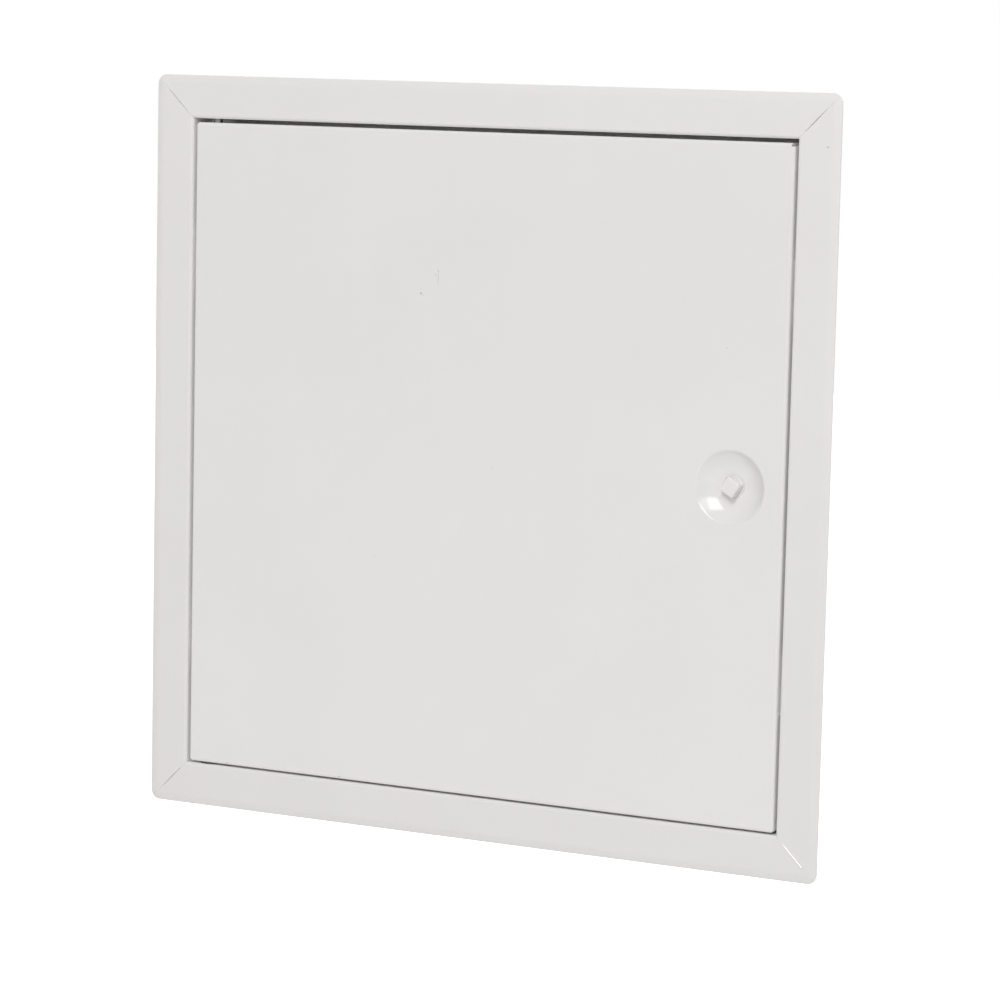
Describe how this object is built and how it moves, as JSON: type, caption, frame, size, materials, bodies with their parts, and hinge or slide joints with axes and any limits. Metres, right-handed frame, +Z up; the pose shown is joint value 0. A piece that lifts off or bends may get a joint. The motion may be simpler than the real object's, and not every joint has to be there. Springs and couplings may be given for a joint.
{
  "type": "ceiling access panel",
  "caption": "Square steel access panel for a ceiling or wall: mitred frame with a turned-back flange edge, folded door leaf on hidden pivot pins, and a square-key cam lock in a pressed dimple.",
  "frame": {"origin": "centre of the clear opening, in the plane where the flange rim meets the ceiling or wall", "axes": "+X towards the lock side, +Y into the ceiling or wall, away from the face, +Z up the face, with the hinge at -X"},
  "size_m": [0.3392, 0.0294, 0.3392],
  "materials": {
    "powder_coat": "white semi-gloss powder coat with a fine orange peel",
    "zinc_steel": "bright zinc-plated steel",
    "spring_steel": "dark oiled spring steel",
    "nylon": "black nylon"
  },
  "bodies": {
    "frame": {"frame_rail_top": "powder_coat", "frame_rail_bottom": "powder_coat", "frame_rail_left": "powder_coat", "frame_rail_right": "powder_coat", "corner_plate_tl": "zinc_steel", "corner_plate_tr": "zinc_steel", "corner_plate_bl": "zinc_steel", "corner_plate_br": "zinc_steel", "corner_rivets": "zinc_steel", "hinge_pin_lower": "zinc_steel", "hinge_washer_lower": "nylon"},
    "door": {"door_leaf": "powder_coat", "hinge_plate_lower": "zinc_steel", "hinge_bracket_upper": "zinc_steel", "bracket_rivets": "zinc_steel", "hinge_spring": "spring_steel", "lock_bearing": "zinc_steel"},
    "sprung_pin": {"hinge_pin_upper": "zinc_steel", "pin_clip": "spring_steel"},
    "lock": {"lock_spindle": "powder_coat", "cone_washer": "spring_steel", "lock_cam": "zinc_steel", "nut_washer": "zinc_steel", "cam_nut": "zinc_steel"}
  },
  "joints": [
    {"name": "door_swing", "type": "hinge", "parent": "frame", "child": "door", "pos_m": [-0.14, 0.0041, 0], "axis": [0, 0, -1], "range_deg": [0, 110]},
    {"name": "lock_turn", "type": "hinge", "parent": "door", "child": "lock", "pos_m": [0.1234, 0, 0], "axis": [0, -1, 0], "range_deg": [0, 90]},
    {"name": "pin_slide", "type": "slide", "parent": "door", "child": "sprung_pin", "axis": [0, 0, -1], "range_m": [0, 0.007], "stiffness_N_per_m": 300, "springref_m": -0.012, "deforming": ["hinge_spring"]}
  ]
}
